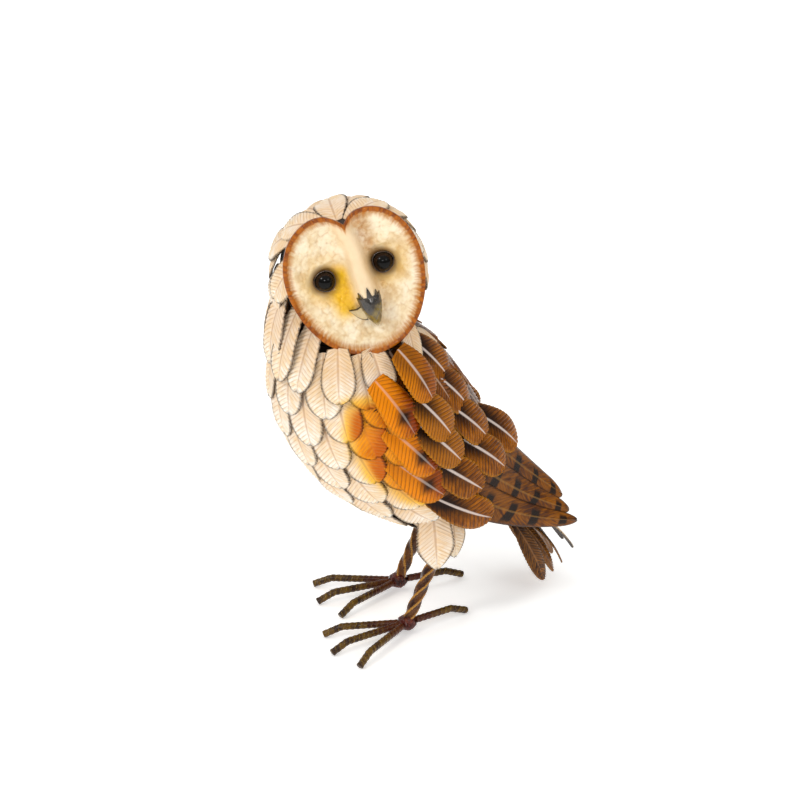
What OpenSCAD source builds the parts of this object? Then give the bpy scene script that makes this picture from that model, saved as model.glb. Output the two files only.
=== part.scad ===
// Painted metal owl figurine.
// Stamped sheet feathers are welded in rows over a hollow body and head. The owl stands on two
// twisted bars that end in rod toes, with its head turned over its left shoulder.
// Millimetres, +Z up. The owl faces -Y, its left side is +X, and it stands on Z = 0.

/* [Stance] */
// Distance between the ankles, left to right
ankle_spread = 62; // [58:1:68]
// Distance that the left foot stands ahead of the right
step = 24; // [16:1:32]
// Height of the toe rods' centre line above the ground
toe_rise = 8; // [7.5:0.1:9]
// Diameter of the toe rods
toe_d = 5.6; // [5:0.1:6]
// Length of the bent claw at each toe's end
claw_length = 15; // [14:0.5:18]
// Depth filed off under each claw, so that it stands flat
claw_flat = 0.5; // [0.3:0.1:0.8]
// Across flats of the twisted leg bars
leg_bar = 7.5; // [6.5:0.1:8]
// Backward lean of the legs, from vertical
leg_lean = 25; // [20:1:30]
// Diameter of the weld ball at each ankle
ankle_d = 14; // [13:0.5:15]

/* [Body] */
// Wall of the body and head shells
wall = 1.2; // [1:0.1:1.6]
// Radius of the neck sleeve
neck_r = 38; // [34:1:40]
// Thickness of the sheet that the feathers are cut from
sheet = 0.8; // [0.6:0.1:1]
// Gap between the shell and the root of a feather
root_gap = 0.3; // [0.2:0.1:0.6]
// Height of a body feather's tip above the shell
tip_lift = 6; // [5:0.5:8]

/* [Head] */
// Radius of the head shell
head_r = 52; // [50:1:53]
// Turn of the head, to the owl's left
head_turn = 69.5; // [64:0.5:75]
// Upward pitch of the face
head_pitch = 9; // [4:1:12]
// Sideways tilt of the head
head_roll = 17; // [12:1:20]
// Radius of the facial disc below its two lobes
disc_r = 50; // [49:0.5:52]
// Depth of the notch between the two lobes
disc_notch = 12; // [8:1:14]
// Radius of each glass eye
eye_r = 7.6; // [7:0.1:8]
// Distance between the eyes
eye_spacing = 44; // [42:1:47]

/* [Wings and tail] */
// Width of a wing covert
covert_w = 26; // [23:0.5:26]
// Thickness of the pressed wing panels
wing_sheet = 1.4; // [1.2:0.1:1.8]

/* [Hidden] */
$fn = 48;

// Middle of the stance. It lies behind the origin, which is under the middle of the whole owl.
stance_y = -20.25;
head_lift = 292.5;
neck_base = 247;
head_centre = [0, stance_y - 40, head_lift];

// The body is a tube bent in the median plane. Its centre line and radius are Bezier curves
// that run from the neck, at 0, to the tail, at 1.
spine = [
    [0, stance_y - 47, neck_base],
    [0, stance_y - 47, 192],
    [0, stance_y + 8, 132],
    [0, stance_y + 86, 70],
];
girth = [49, 72, 68, 12];

// Edges of the left wing, as Bezier curves from the shoulder, at 0, to the tip, at 1
wing_low_edge = [
    [56, stance_y - 70, 231],
    [72, stance_y - 50, 147],
    [44, stance_y + 38, 74],
    [36, stance_y + 132, 60],
];
wing_high_edge = [
    [30, stance_y - 12, 254],
    [40, stance_y + 16, 208],
    [14, stance_y + 90, 124],
    [31, stance_y + 128, 84],
];
wing_bulge = 20;

// Directions of the face: across it to its left-hand side, up it, and out of it
face_level = [cos(head_turn), sin(head_turn), 0];
face_out = [sin(head_turn) * cos(head_pitch), -cos(head_turn) * cos(head_pitch), sin(head_pitch)];
face_rise = cross(face_out, face_level);
face_across = cos(head_roll) * face_level + sin(head_roll) * face_rise;
face_up = cos(head_roll) * face_rise - sin(head_roll) * face_level;

// The head's feathers spread from a crown point between the face and the top of the head
crown_angle = 52;
// Smallest angle between the middle of the face and a feather
face_clear = 54;
crown = cos(crown_angle) * face_out + sin(crown_angle) * face_up;
nape_side = cross(crown, face_across);

// The facial disc is a dish. Its floor is disc_floor ahead of the head's centre.
disc_floor = 31;
disc_bowl = 150;
disc_sheet = 3;
notch_lean = 4;
eye_height = 9.3;
nose_axis = 38;
nose_end = -11;
nose_lean = 4;

// Feathers
breast_w = 27;
head_feather_w = 25;
head_feather_l = 42;
// How much further the head's feathers stand out on the side that the face turns away from
side_lift = 8;
// And how much closer they lie on the other side
side_tuck = 2.5;
covert_reach = 0.21;
covert_sweep = 0.05;
wing_start = 0.1;
ruff_top = 284;
// Roots of the wing coverts, along and across the wing, from the shoulder to the tail
covert_roots = [
    [[0.02, 0.18], [-0.02, 0.52], [0.03, 0.88]],
    [[0.17, 0.12], [0.13, 0.45], [0.16, 0.82]],
    [[0.26, 0.0], [0.22, 0.34], [0.28, 0.72]],
    [[0.36, 0.24], [0.4, 0.58]],
    [[0.46, 0], [0.44, 0.93]],
];

// Feet and legs
foot_turn = 5.5;
toe_fan = 25;
toe_length = 50;
back_toe_length = 40;
leg_length = 102;
leg_twist_pitch = 56;
leg_plate_w = 18;

// ---- vectors and curves ----

function unit(v) = v / norm(v);
function bezier(p, t) = pow(1 - t, 3) * p[0] + 3 * pow(1 - t, 2) * t * p[1]
    + 3 * (1 - t) * t * t * p[2] + t * t * t * p[3];
function bezier_slope(p, t) = 3 * (pow(1 - t, 2) * (p[1] - p[0])
    + 2 * (1 - t) * t * (p[2] - p[1]) + t * t * (p[3] - p[2]));

// Point on the body. around is 0 on the breast, 90 on the owl's left and 180 on its back.
function tailward(t) = unit(bezier_slope(spine, t));
function outward(t, around) = cos(around) * [0, tailward(t).z, -tailward(t).y]
    + sin(around) * [1, 0, 0];
function skin(t, around, height = 0) = bezier(spine, t)
    + (bezier(girth, t) + height) * outward(t, around);

// Point on the head. down is the angle from the crown, and around is 0 towards the nape.
function head_ray(down, around) = cos(down) * crown
    + sin(down) * (cos(around) * nape_side + sin(around) * face_across);
function on_head(down, around, height) = head_centre + (head_r + height) * head_ray(down, around);

// Point just above the head's feathers, in a level direction and at a height
function on_head_level(around, level) = [
    head_centre.x + (head_r + 3) * sin(around), head_centre.y - (head_r + 3) * cos(around), level
];

// Point on the left wing. across is 0 at the low edge and 1 at the high edge.
function wing_out(along) = unit(cross(
    bezier_slope(wing_low_edge, along) + bezier_slope(wing_high_edge, along),
    bezier(wing_high_edge, along) - bezier(wing_low_edge, along)
));
function wing(along, across, height = 0) = bezier(wing_low_edge, along) * (1 - across)
    + bezier(wing_high_edge, along) * across
    + (4 * across * (1 - across) * wing_bulge * (1.05 - along) + height) * wing_out(along);

// Sheet through a row of closed loops. Each loop runs along the sheet's outer side and then
// back along its inner side, with as many points on both.
module sheet_loft(loops) {
    size = len(loops[0]);
    last_loop = (len(loops) - 1) * size;
    sides = [
        for (i = [0:len(loops) - 2], j = [0:size - 1])
            let (a = i * size + j, b = i * size + (j + 1) % size)
                each [[a, b, b + size], [a, b + size, a + size]]
    ];
    ends = [
        for (j = [0:size / 2 - 2])
            let (a = j, b = j + 1, c = size - 2 - j, d = size - 1 - j)
                each [
                    [a, c, b], [a, d, c],
                    [last_loop + a, last_loop + b, last_loop + c],
                    [last_loop + a, last_loop + c, last_loop + d],
                ]
    ];
    polyhedron([for (loop = loops) each loop], concat(sides, ends), convexity = 6);
}

// Stands its children at root, with their Y towards tip and their Z outwards
module place(root, tip, out) {
    along = unit(tip - root);
    side = unit(cross(along, out));
    up = cross(side, along);
    multmatrix([
        [side.x, along.x, up.x, root.x],
        [side.y, along.y, up.y, root.y],
        [side.z, along.z, up.z, root.z],
    ]) children();
}

// Draws its children on the owl's left for side 1, and mirrored on its right for side -1
module on_side(side) {
    if (side > 0)
        children();
    else
        mirror([1, 0, 0]) children();
}

// ---- stamped feathers ----

// One cupped feather, from its root at the origin to its tip on Y
module feather(length, width, cup = 110, root_share = 0.62) {
    rise = length * length / (8 * cup);
    middle = [0, length / 2, rise - cup];
    intersection() {
        translate([0, 0, -cup / 4])
            linear_extrude(cup / 2) {
                translate([0, length - width / 2])
                    circle(d = width);
                polygon([
                    [-width * root_share / 2, 0], [width * root_share / 2, 0],
                    [width / 2, length - width / 2], [-width / 2, length - width / 2],
                ]);
            }
        difference() {
            translate(middle)
                sphere(cup + sheet, $fn = 96);
            translate(middle)
                sphere(cup, $fn = 96);
        }
    }
}

// A feather between two points in space
module feather_between(root, tip, out, width, cup = 110, root_share = 0.62) {
    place(root, tip, out)
        feather(norm(tip - root), width, cup, root_share);
}

// One row of feathers round the body. It is centred on the angle middle.
module body_row(root_t, tip_t, middle, count, pitch, width = breast_w, root_height = root_gap) {
    for (i = [0:count - 1]) {
        around = middle + (i - (count - 1) / 2) * pitch;
        feather_between(
            skin(root_t, around, root_height), skin(tip_t, around, tip_lift),
            outward((root_t + tip_t) / 2, around), width
        );
    }
}

// One row of feathers round the head, at an angle down from the crown. It is centred on the
// nape, and leaves out the feathers that would lie over the face or run into the shoulders.
module head_row(down, count, pitch, width = head_feather_w) {
    reach = head_feather_l / (head_r + tip_lift / 2) * 180 / PI;
    for (i = [0:count - 1]) {
        around = (i - (count - 1) / 2) * pitch;
        side = sin(around) * sin(down + reach / 2);
        stand = side < 0 ? -side_lift * side : -side_tuck * side;
        root = on_head(down, around, root_gap + max(0, 0.4 * stand));
        middle = head_ray(down + reach / 2, around);
        tip = on_head(down + reach, around, tip_lift - 1 + stand);
        off_face = head_ray(down, around) * face_out < cos(face_clear)
            && middle * face_out < cos(face_clear + 4);
        if (off_face && tip.z > neck_base + 3)
            place(root, tip, middle)
                feather(norm(tip - root), width, cup = head_r + 5, root_share = 0.4);
    }
}

// Wing coverts, given the place of each one's root along and across the wing
module coverts(side, roots) {
    on_side(side)
        for (at = roots)
            feather_between(
                wing(at[0], at[1], 1), wing(at[0] + covert_reach, at[1] + covert_sweep, 7),
                wing_out(at[0]) + (at[1] - 0.5) * [0, 0, 1], covert_w, 90
            );
}

// ---- body ----

// Half of the hollow body, on the owl's left for side 1 and on its right for side -1
module body_half(side) {
    rings = 20;
    steps = 14;
    loop_at = function (t) concat(
        [for (j = [0:steps]) skin(t, 180 * j / steps)],
        [for (j = [steps:-1:0]) skin(t, 180 * j / steps, -wall)]
    );
    color("dimgray")
        on_side(side)
            difference() {
                sheet_loft([for (i = [0:rings]) loop_at(i / rings)]);
                leg_path(side)
                    cylinder(d = leg_bar * sqrt(2) + 1, h = leg_length);
            }
}

module body_shell_left() body_half(1);
module body_shell_right() body_half(-1);

module tail_cap() {
    end = bezier(spine, 1);
    color("dimgray")
        place(end, end + [1, 0, 0], tailward(1))
            cylinder(r = girth[3], h = wall);
}

// Flat bar inside the body, which the tops of the legs are welded to
module leg_plate() {
    left = leg_top(1);
    right = leg_top(-1);
    color("dimgray")
        place((left + right) / 2, left, [0, 0, 1])
            translate([-leg_plate_w / 2, -norm(left - right) / 2 - leg_bar, 0])
                cube([leg_plate_w, norm(left - right) + 2 * leg_bar, 3]);
}

module neck_ring() {
    color("dimgray")
        translate(spine[0])
            difference() {
                cylinder(r = girth[0], h = wall);
                translate([0, 0, -1])
                    cylinder(r = neck_r - 4, h = wall + 2);
            }
}

module neck_sleeve() {
    color("dimgray")
        difference() {
            translate([head_centre.x, head_centre.y, neck_base + wall])
                difference() {
                    cylinder(r = neck_r, h = head_r / 2);
                    translate([0, 0, -1])
                        cylinder(r = neck_r - wall, h = head_r);
                }
            translate(head_centre)
                sphere(head_r, $fn = 96);
        }
}

// ---- head ----

// Puts its children at the head's centre, with X across the face, Y up it and Z out of it
module on_face() {
    multmatrix([
        [face_across.x, face_up.x, face_out.x, head_centre.x],
        [face_across.y, face_up.y, face_out.y, head_centre.y],
        [face_across.z, face_up.z, face_out.z, head_centre.z],
    ]) children();
}

// Ball whose near side is the dish of the facial disc, depth behind its front surface
module disc_ball(depth) {
    translate([0, 0, disc_floor + disc_bowl])
        sphere(disc_bowl + depth, $fn = 180);
}

// Heart-shaped outline of the facial disc
module disc_outline() {
    polygon([
        for (a = [-180:5:175])
            let (r = disc_r + 5 + 8.5 * cos(a) + 5.5 * cos(2 * a)
                - (disc_notch + 10) * exp(-abs(a - notch_lean) / 18))
                r * [sin(a), cos(a)]
    ]);
}

module head_shell() {
    color("dimgray")
        on_face()
            difference() {
                sphere(head_r, $fn = 96);
                sphere(head_r - wall, $fn = 96);
                disc_ball(disc_sheet);
            }
}

module facial_disc() {
    color("antiquewhite")
        on_face()
            difference() {
                intersection() {
                    disc_ball(disc_sheet);
                    union() {
                        difference() {
                            translate([0, 0, disc_floor - disc_sheet - 1])
                                linear_extrude(20)
                                    disc_outline();
                            disc_ball(0);
                        }
                        translate([nose_lean, nose_end, nose_axis])
                            rotate([-90, 0, 0])
                                cylinder(r1 = 9, r2 = 5, h = disc_r - nose_end - disc_notch / 2);
                    }
                }
                for (side = [-1, 1])
                    translate([side * eye_spacing / 2, eye_height, 0])
                        cylinder(r = eye_r + 1.5, h = 60);
            }
}

module beak() {
    length = 21;
    color("darkkhaki")
        on_face()
            translate([nose_lean, nose_end, nose_axis + 3])
                rotate([90, 0, 0]) {
                    cylinder(r1 = 8, r2 = 2.5, h = length);
                    translate([0, 0, length])
                        sphere(2.5);
                }
}

// Places its children at one eye's centre
module at_eye(side) {
    on_face()
        translate([side * eye_spacing / 2, eye_height, disc_floor])
            children();
}

module eye(side) {
    color("black")
        at_eye(side)
            sphere(eye_r);
}

module eye_left() eye(1);
module eye_right() eye(-1);

// Turned cups that hold the eyes behind the disc
module eye_cups() {
    color("saddlebrown")
        for (side = [-1, 1])
            at_eye(side)
                translate([0, 0, -5])
                    difference() {
                        cylinder(r = eye_r + 1.4, h = 9);
                        translate([0, 0, -1])
                            cylinder(r = eye_r + 0.1, h = 11);
                    }
}

module crown_row_1() color("linen") head_row(16, 5, 50);
module crown_row_2() color("linen") head_row(34, 8, 40);
module crown_row_3() color("linen") head_row(54, 11, 31);
module nape_row_1() color("linen") head_row(74, 12, 30);
module nape_row_2() color("linen") head_row(94, 9, 35);
module nape_row_3() color("linen") head_row(114, 6, 48);

// ---- body feathers ----

// Ruff that hangs from the head over the neck, on the sides that the face doesn't cover, and
// shorter feathers below the face
module throat_row_1() {
    color("linen") {
        for (around = [-164:32:-4])
            feather_between(
                on_head_level(around, ruff_top), skin(0.06, around, tip_lift + 1),
                [sin(around), -cos(around), 0.15], breast_w
            );
        for (around = [57, 87, 146])
            feather_between(
                skin(-0.03, around, root_gap), skin(0.13, around, tip_lift + 3),
                outward(0, around), breast_w - 4
            );
        for (around = [27, 116])
            feather_between(
                head_centre + [47 * sin(around), -47 * cos(around), -25],
                skin(0.1, around, tip_lift + 2), outward(0, around), breast_w - 6
            );
    }
}
// Short feathers round the neck, and one more ruff feather next to the face
module throat_row_2() {
    around = 12;
    color("linen") {
        body_row(-0.01, 0.18, 0, 6, 30, 26);
        feather_between(
            head_centre + [51.5 * sin(around), -51.5 * cos(around), -16],
            skin(0.08, around, tip_lift + 4), outward(0, around), breast_w - 6
        );
    }
}
module breast_row_1() color("linen") body_row(0.07, 0.27, 0, 7, 27);
module breast_row_2() color("linen") body_row(0.16, 0.36, 0, 8, 26);
module breast_row_3() color("linen") body_row(0.25, 0.45, 0, 7, 27);
module breast_row_4() color("linen") body_row(0.34, 0.54, 0, 6, 28);
module belly_row_1() color("linen") body_row(0.43, 0.63, 0, 7, 30);
module belly_row_2() color("linen") body_row(0.53, 0.73, 0, 6, 34);
module belly_row_3() color("linen") body_row(0.66, 0.86, 0, 3, 44);

module back_row_1() color("saddlebrown") body_row(-0.06, 0.22, 180, 6, 31, root_height = -5);
module back_row_2() color("saddlebrown") body_row(0.06, 0.4, 180, 5, 27);
module back_row_3() color("saddlebrown") body_row(0.24, 0.56, 180, 4, 27);
module back_row_4() color("saddlebrown") body_row(0.4, 0.7, 180, 3, 30);
module back_row_5() color("saddlebrown") body_row(0.56, 0.84, 180, 2, 40);

// ---- wings ----

// Pressed panel of long flight feathers
module wing_panel(side) {
    rings = 16;
    steps = 8;
    loop_at = function (along) concat(
        [for (j = [0:steps]) wing(along, j / steps)],
        [for (j = [steps:-1:0]) wing(along, j / steps, -wing_sheet)]
    );
    color("peru")
        on_side(side)
            sheet_loft([for (i = [rings:-1:0]) loop_at(wing_start + (1 - wing_start) * i / rings)]);
}

module wing_panel_left() wing_panel(1);
module wing_panel_right() wing_panel(-1);

module covert_row(side, index) {
    color(index < 2 ? "orange" : "sienna")
        coverts(side, covert_roots[index]);
}

module covert_row_1_left() covert_row(1, 0);
module covert_row_2_left() covert_row(1, 1);
module covert_row_3_left() covert_row(1, 2);
module covert_row_4_left() covert_row(1, 3);
module covert_row_5_left() covert_row(1, 4);
module covert_row_1_right() covert_row(-1, 0);
module covert_row_2_right() covert_row(-1, 1);
module covert_row_3_right() covert_row(-1, 2);
module covert_row_4_right() covert_row(-1, 3);
module covert_row_5_right() covert_row(-1, 4);

// ---- thighs and tail ----

module thigh_feathers(side) {
    color("linen")
        on_side(side)
            translate([0, -side * step / 2, 0]) {
                feather_between([40, stance_y + 17, 102], [42, stance_y + 20, 54], [1, -0.3, 0], 26);
                feather_between([36, stance_y + 34, 98], [38, stance_y + 37, 58], [1, 0.3, 0], 22);
            }
}

module thigh_feathers_left() thigh_feathers(1);
module thigh_feathers_right() thigh_feathers(-1);

// The fan's outer feathers hang steeply. Those nearer the middle reach further back.
module tail_feather(i) {
    feather_between(
        [20 - 7 * i, stance_y + 86 + 6 * i, 64 - i],
        [22 - 7 * i, stance_y + 112 + 12 * i, 9 + i],
        [1 - 0.4 * i, 0.1 + 0.45 * i, 0.35], 14, root_share = 0.3
    );
}

module tail_feathers_left() {
    color("sienna")
        for (i = [0:2])
            tail_feather(i);
}

module tail_feathers_right() {
    color("sienna")
        mirror([1, 0, 0])
            for (i = [1:2])
                tail_feather(i);
}

module tail_feathers_middle() {
    color("linen")
        for (side = [-1, 1])
            feather_between(
                [side * 7, stance_y + 96, 70], [side * 8, stance_y + 146, 22], [0, 0.7, 0.7], 14
            );
}

// ---- legs and feet ----

function ankle_at(side) = [side * ankle_spread / 2, stance_y - side * step / 2, toe_rise];
function leg_top(side) = ankle_at(side) + leg_length * [0, sin(leg_lean), cos(leg_lean)];

// Puts its children at a foot's ankle, turned outwards. Left and right feet are mirror images.
module at_foot(side) {
    on_side(side)
        translate([ankle_spread / 2, stance_y - side * step / 2, toe_rise])
            rotate([0, 0, foot_turn])
                children();
}

// Puts its children at the left ankle, with Z up the leg. side says which foot is ahead.
module leg_path(side) {
    translate([ankle_spread / 2, stance_y - side * step / 2, toe_rise])
        rotate([-leg_lean, 0, 0])
            children();
}

module leg_bar_twisted() {
    turn = 360 * leg_length / leg_twist_pitch;
    linear_extrude(leg_length, twist = -turn, slices = 40, segments = 4)
        square(leg_bar, center = true);
}

module leg(side) {
    color("saddlebrown")
        on_side(side)
            difference() {
                leg_path(side)
                    leg_bar_twisted();
                leg_path(side)
                    sphere(d = ankle_d);
                translate([-100, -100, leg_top(side).z])
                    cube([200, 300, 20]);
            }
}

module leg_left() leg(1);
module leg_right() leg(-1);

module ankle_welds() {
    color("maroon")
        for (side = [-1, 1])
            translate(ankle_at(side))
                sphere(d = ankle_d);
}

// One toe, turned from the foot's forward line. Its claw bends down to the ground.
module toe(side, turn, length) {
    drop = toe_rise - toe_d / 2 + claw_flat;
    claw_angle = asin(drop / claw_length);
    color("olive")
        intersection() {
            at_foot(side)
                difference() {
                    rotate([90, 0, turn]) {
                        cylinder(d = toe_d, h = length);
                        translate([0, 0, length]) {
                            sphere(d = toe_d);
                            rotate([claw_angle, 0, 0])
                                cylinder(d = toe_d, h = claw_length);
                        }
                    }
                    sphere(d = ankle_d);
                }
            translate([-200, -200, 0])
                cube(400);
        }
}

module toe_inner_left() toe(1, -toe_fan, toe_length);
module toe_middle_left() toe(1, 0, toe_length + 3);
module toe_outer_left() toe(1, toe_fan, toe_length + 2);
module toe_back_left() toe(1, 180, back_toe_length);
module toe_inner_right() toe(-1, -toe_fan, toe_length);
module toe_middle_right() toe(-1, 0, toe_length + 3);
module toe_outer_right() toe(-1, toe_fan, toe_length + 2);
module toe_back_right() toe(-1, 180, back_toe_length);

// ---- drawing ----

body_shell_left();
body_shell_right();
tail_cap();
leg_plate();
neck_ring();
neck_sleeve();
head_shell();
facial_disc();
beak();
eye_left();
eye_right();
eye_cups();
crown_row_1();
crown_row_2();
crown_row_3();
nape_row_1();
nape_row_2();
nape_row_3();
throat_row_1();
throat_row_2();
breast_row_1();
breast_row_2();
breast_row_3();
breast_row_4();
belly_row_1();
belly_row_2();
belly_row_3();
back_row_1();
back_row_2();
back_row_3();
back_row_4();
back_row_5();
wing_panel_left();
wing_panel_right();
covert_row_1_left();
covert_row_2_left();
covert_row_3_left();
covert_row_4_left();
covert_row_5_left();
covert_row_1_right();
covert_row_2_right();
covert_row_3_right();
covert_row_4_right();
covert_row_5_right();
thigh_feathers_left();
thigh_feathers_right();
tail_feathers_left();
tail_feathers_right();
tail_feathers_middle();
leg_left();
leg_right();
ankle_welds();
toe_inner_left();
toe_middle_left();
toe_outer_left();
toe_back_left();
toe_inner_right();
toe_middle_right();
toe_outer_right();
toe_back_right();
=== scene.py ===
"""The looks of the owl figurine: stamped and painted metal feathers over the CAD frame.

All sizes are in millimetres until a mesh is made. The owl faces -Y, and its left side is +X.
Each feather is rebuilt in the place of its CAD solid, with its quill, barbs and crease.
"""

import math

import bmesh
import bpy
import numpy as np
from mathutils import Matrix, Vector


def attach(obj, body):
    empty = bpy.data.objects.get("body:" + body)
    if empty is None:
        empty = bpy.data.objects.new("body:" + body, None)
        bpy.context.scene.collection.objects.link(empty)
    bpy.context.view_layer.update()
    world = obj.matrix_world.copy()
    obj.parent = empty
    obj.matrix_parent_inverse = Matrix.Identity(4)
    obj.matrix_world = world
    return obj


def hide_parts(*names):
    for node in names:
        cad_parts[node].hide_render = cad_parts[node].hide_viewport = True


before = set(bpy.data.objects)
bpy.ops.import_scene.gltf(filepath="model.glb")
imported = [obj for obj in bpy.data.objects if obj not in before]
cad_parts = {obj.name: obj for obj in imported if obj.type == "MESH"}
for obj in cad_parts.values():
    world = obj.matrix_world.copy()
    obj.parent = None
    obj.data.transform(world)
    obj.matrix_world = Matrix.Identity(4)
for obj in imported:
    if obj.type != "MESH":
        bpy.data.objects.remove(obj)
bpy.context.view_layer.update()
MM = 0.001

# Values that part.scad also has
STANCE_Y = -20.25
HEAD_CENTRE = np.array([0, STANCE_Y - 40, 292.5])
HEAD_TURN, HEAD_PITCH, HEAD_ROLL = (math.radians(a) for a in (69.5, 9, 17))
DISC_R, DISC_NOTCH, DISC_FLOOR, DISC_BOWL, DISC_SHEET = 50, 12, 31, 150, 3
NOTCH_LEAN = 4
EYE_R, EYE_X, EYE_Y = 7.6, 22, 9.3
NOSE_END, NOSE_LEAN = -11, 4
TOE_RISE, TOE_D, CLAW_LENGTH, CLAW_FLAT = 8, 5.6, 15, 0.5
TOE_LENGTH = {"inner": 50, "middle": 53, "outer": 52, "back": 40}
LEG_BAR, LEG_PITCH, ANKLE_D = 7.5, 56, 14
SHEET = 0.8
CUP = {"crown": 57, "nape": 57, "covert": 90}
BODY_CUP = 110
WING_LOW = np.array([[56, -70, 231], [72, -50, 147], [44, 38, 74], [36, 132, 60]], float)
WING_HIGH = np.array([[30, -12, 254], [40, 16, 208], [14, 90, 124], [31, 128, 84]], float)
WING_LOW[:, 1] += STANCE_Y
WING_HIGH[:, 1] += STANCE_Y
WING_BULGE = 20

# Barbs along a feather, in the mesh and in the paint
BARBS, FLIGHT_BARBS, TAIL_BARBS, THIGH_BARBS, TAIL_MIDDLE_BARBS = 15, 44, 20, 17, 18
SIDES = ((1, "left"), (-1, "right"))


# ---- small mathematics ----


def unit(v):
    v = np.asarray(v, float)
    return v / np.linalg.norm(v, axis=-1, keepdims=True)


def ramp(x, low, high):
    """0 below low and 1 above high, with a smooth step between them."""
    t = np.clip((np.asarray(x, float) - low) / (high - low), 0, 1)
    return t * t * (3 - 2 * t)


def bell(x, width):
    return np.exp(-((np.asarray(x, float) / width) ** 2))


def bezier(p, t):
    """Point at t on the cubic curve with the four control points p."""
    t = np.asarray(t, float)[..., None]
    first, last = (1 - t) ** 3 * p[0], t**3 * p[3]
    return first + 3 * (1 - t) ** 2 * t * p[1] + 3 * (1 - t) * t * t * p[2] + last


def bezier_slope(p, t):
    t = np.asarray(t, float)[..., None]
    legs = np.diff(p, axis=0)
    return 3 * ((1 - t) ** 2 * legs[0] + 2 * (1 - t) * t * legs[1] + t * t * legs[2])


def circle(count):
    """Angles of points that go once round, without repeating the first."""
    return np.linspace(0, 2 * math.pi, count, endpoint=False)


def mesh_grid(first, second):
    return np.meshgrid(first, second, indexing="ij")


def wing_point(along, across, height, side):
    """A point on the left wing (side 1) or the right wing (side -1)."""
    low, high = bezier(WING_LOW, along), bezier(WING_HIGH, along)
    out = unit(np.cross(bezier_slope(WING_LOW, along) + bezier_slope(WING_HIGH, along), high - low))
    across = np.asarray(across, float)[..., None]
    lift = (4 * across * (1 - across) * WING_BULGE)[..., 0] * (1.05 - along) + height
    point = low * (1 - across) + high * across + lift[..., None] * out
    return point * [side, 1, 1]


def lumps(points, size, seed):
    """Smooth noise from -1 to 1 at each point, with lumps of about the size given."""
    waves, usual_peak = 7, 3.2
    rng = np.random.default_rng(seed)
    total = np.zeros(len(points))
    for _ in range(waves):
        wave = unit(rng.normal(size=3)) * 2 * math.pi / size * rng.uniform(0.6, 1.5)
        total += np.sin(points @ wave + rng.uniform(0, 6.3))
    return total / usual_peak


def flat_lumps(x, y, size, seed):
    """The same noise over a plane."""
    return lumps(np.stack([x, y, 0 * x], -1), size, seed)


# ---- the face's own frame: X across to its left, Y up, Z out of it ----

level = np.array([math.cos(HEAD_TURN), math.sin(HEAD_TURN), 0])
FACE_OUT = np.array(
    [
        math.sin(HEAD_TURN) * math.cos(HEAD_PITCH),
        -math.cos(HEAD_TURN) * math.cos(HEAD_PITCH),
        math.sin(HEAD_PITCH),
    ]
)
rise = np.cross(FACE_OUT, level)
FACE_ACROSS = math.cos(HEAD_ROLL) * level + math.sin(HEAD_ROLL) * rise
FACE_UP = math.cos(HEAD_ROLL) * rise - math.sin(HEAD_ROLL) * level


def on_face(points):
    """From the face's coordinates to the owl's."""
    points = np.asarray(points, float)
    return HEAD_CENTRE + points @ np.array([FACE_ACROSS, FACE_UP, FACE_OUT])


# ---- meshes ----


class Mesh:
    """Points, faces and per-point values that end up in one Blender object."""

    def __init__(self):
        self.points, self.faces, self.values, self.count = [], [], {}, 0

    def add(self, points, faces, **values):
        points = np.asarray(points, float).reshape(-1, 3)
        self.points.append(points)
        self.faces += [tuple(int(i) + self.count for i in face) for face in faces]
        for name, value in values.items():
            value = np.broadcast_to(np.asarray(value, float), (len(points), 3))
            self.values.setdefault(name, []).append(value)
        self.count += len(points)

    def make(self, name, material, nodes):
        """The object that stands in for the CAD nodes given."""
        data = bpy.data.meshes.new(name)
        data.from_pydata((np.concatenate(self.points) * MM).tolist(), [], self.faces)
        for key, parts in self.values.items():
            layer = data.attributes.new(key, "FLOAT_VECTOR", "POINT")
            layer.data.foreach_set("vector", np.concatenate(parts).astype(np.float32).ravel())
        data.validate()
        tidy = bmesh.new()
        tidy.from_mesh(data)
        bmesh.ops.recalc_face_normals(tidy, faces=tidy.faces)
        tidy.to_mesh(data)
        tidy.free()
        data.polygons.foreach_set("use_smooth", [True] * len(data.polygons))
        data.materials.append(material)
        obj = bpy.data.objects.new(name, data)
        bpy.context.scene.collection.objects.link(obj)
        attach(obj, "root")
        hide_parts(*nodes)
        return obj


def sheet_faces(n, m):
    """Faces of a closed sheet: a grid of n rows of m points, and its twin underneath."""
    twin = n * m
    faces = []
    for i in range(n - 1):
        for j in range(m - 1):
            a = i * m + j
            faces.append((a, a + 1, a + m + 1, a + m))
            faces.append((twin + a + m, twin + a + m + 1, twin + a + 1, twin + a))
    edge = list(range(m)) + [i * m + m - 1 for i in range(1, n)]
    edge += [(n - 1) * m + j for j in range(m - 2, -1, -1)] + [i * m for i in range(n - 2, 0, -1)]
    for a, b in zip(edge, edge[1:] + edge[:1]):
        faces.append((a + twin, b + twin, b, a))
    return faces


def tube_faces(n, m):
    """Faces of a closed tube of n rings of m points."""
    faces = [
        (i * m + j, i * m + (j + 1) % m, (i + 1) * m + (j + 1) % m, (i + 1) * m + j)
        for i in range(n - 1)
        for j in range(m)
    ]
    return faces + [tuple(range(m - 1, -1, -1)), tuple((n - 1) * m + j for j in range(m))]


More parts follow.
